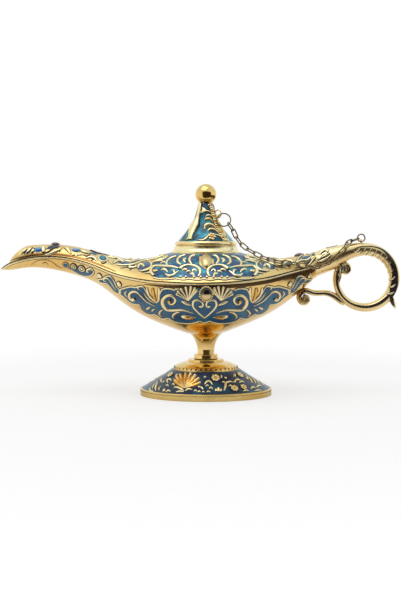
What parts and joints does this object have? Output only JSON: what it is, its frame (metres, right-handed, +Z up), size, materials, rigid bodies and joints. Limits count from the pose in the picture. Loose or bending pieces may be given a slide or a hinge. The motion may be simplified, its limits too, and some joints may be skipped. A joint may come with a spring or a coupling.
{
  "type": "genie oil lamp",
  "caption": "Ornamental oil lamp on an oval foot: boat-shaped body with a hooded spout, a looped handle, and a domed lid that lifts off and is tied to the handle by a chain.",
  "frame": {"origin": "centre of the foot's underside, on the stem's axis", "axes": "+X from the stem towards the handle, the spout points to -X; -Y is the front, the side seen in the picture; +Z up"},
  "size_m": [0.2149, 0.0754, 0.1134],
  "materials": {
    "antique_gold": "polished, antique gold tone",
    "blue_enamel": "gloss enamel with raised gold scrolls",
    "teal_enamel": "gloss enamel, shimmering, with raised gold scrolls",
    "navy_enamel": "gloss enamel with raised gold scrolls",
    "turquoise_enamel": "gloss enamel",
    "dark_brass": "antique, darkened",
    "fixing_steel": "plain",
    "amber_stone": "polished cabochon",
    "pearl_stone": "polished, pearly gold",
    "red_stone": "polished cabochon",
    "blue_stone": "polished cabochon"
  },
  "bodies": {
    "lamp": {"lower_bowl": "blue_enamel", "upper_deck": "teal_enamel", "mouth_collar": "antique_gold", "foot_rim": "antique_gold", "foot_skirt": "navy_enamel", "foot_cap": "antique_gold", "stem_collar": "antique_gold", "tie_washer": "fixing_steel", "tie_bolt": "fixing_steel", "handle": "antique_gold", "handle_scroll": "antique_gold", "bowl_bezel_front": "antique_gold", "bowl_bezel_back": "antique_gold", "bowl_stone_front": "amber_stone", "bowl_stone_back": "amber_stone", "deck_stone_front": "pearl_stone", "deck_stone_back": "pearl_stone", "crest_stone": "red_stone", "tail_stone": "red_stone", "side_stones": "blue_stone", "chain_staple": "antique_gold", "handle_ring": "dark_brass", "chain_tag": "dark_brass", "chain": "dark_brass"},
    "lid": {"lid_spigot": "antique_gold", "lid_rim": "antique_gold", "lid_cone": "turquoise_enamel", "finial": "antique_gold", "finial_nut": "fixing_steel", "lid_lug": "antique_gold", "lid_ring": "dark_brass"}
  },
  "joints": [
    {"name": "lid_lift", "type": "slide", "parent": "lamp", "child": "lid", "axis": [0, 0, 1], "range_m": [0, 0.04], "deforming": ["chain"]}
  ]
}
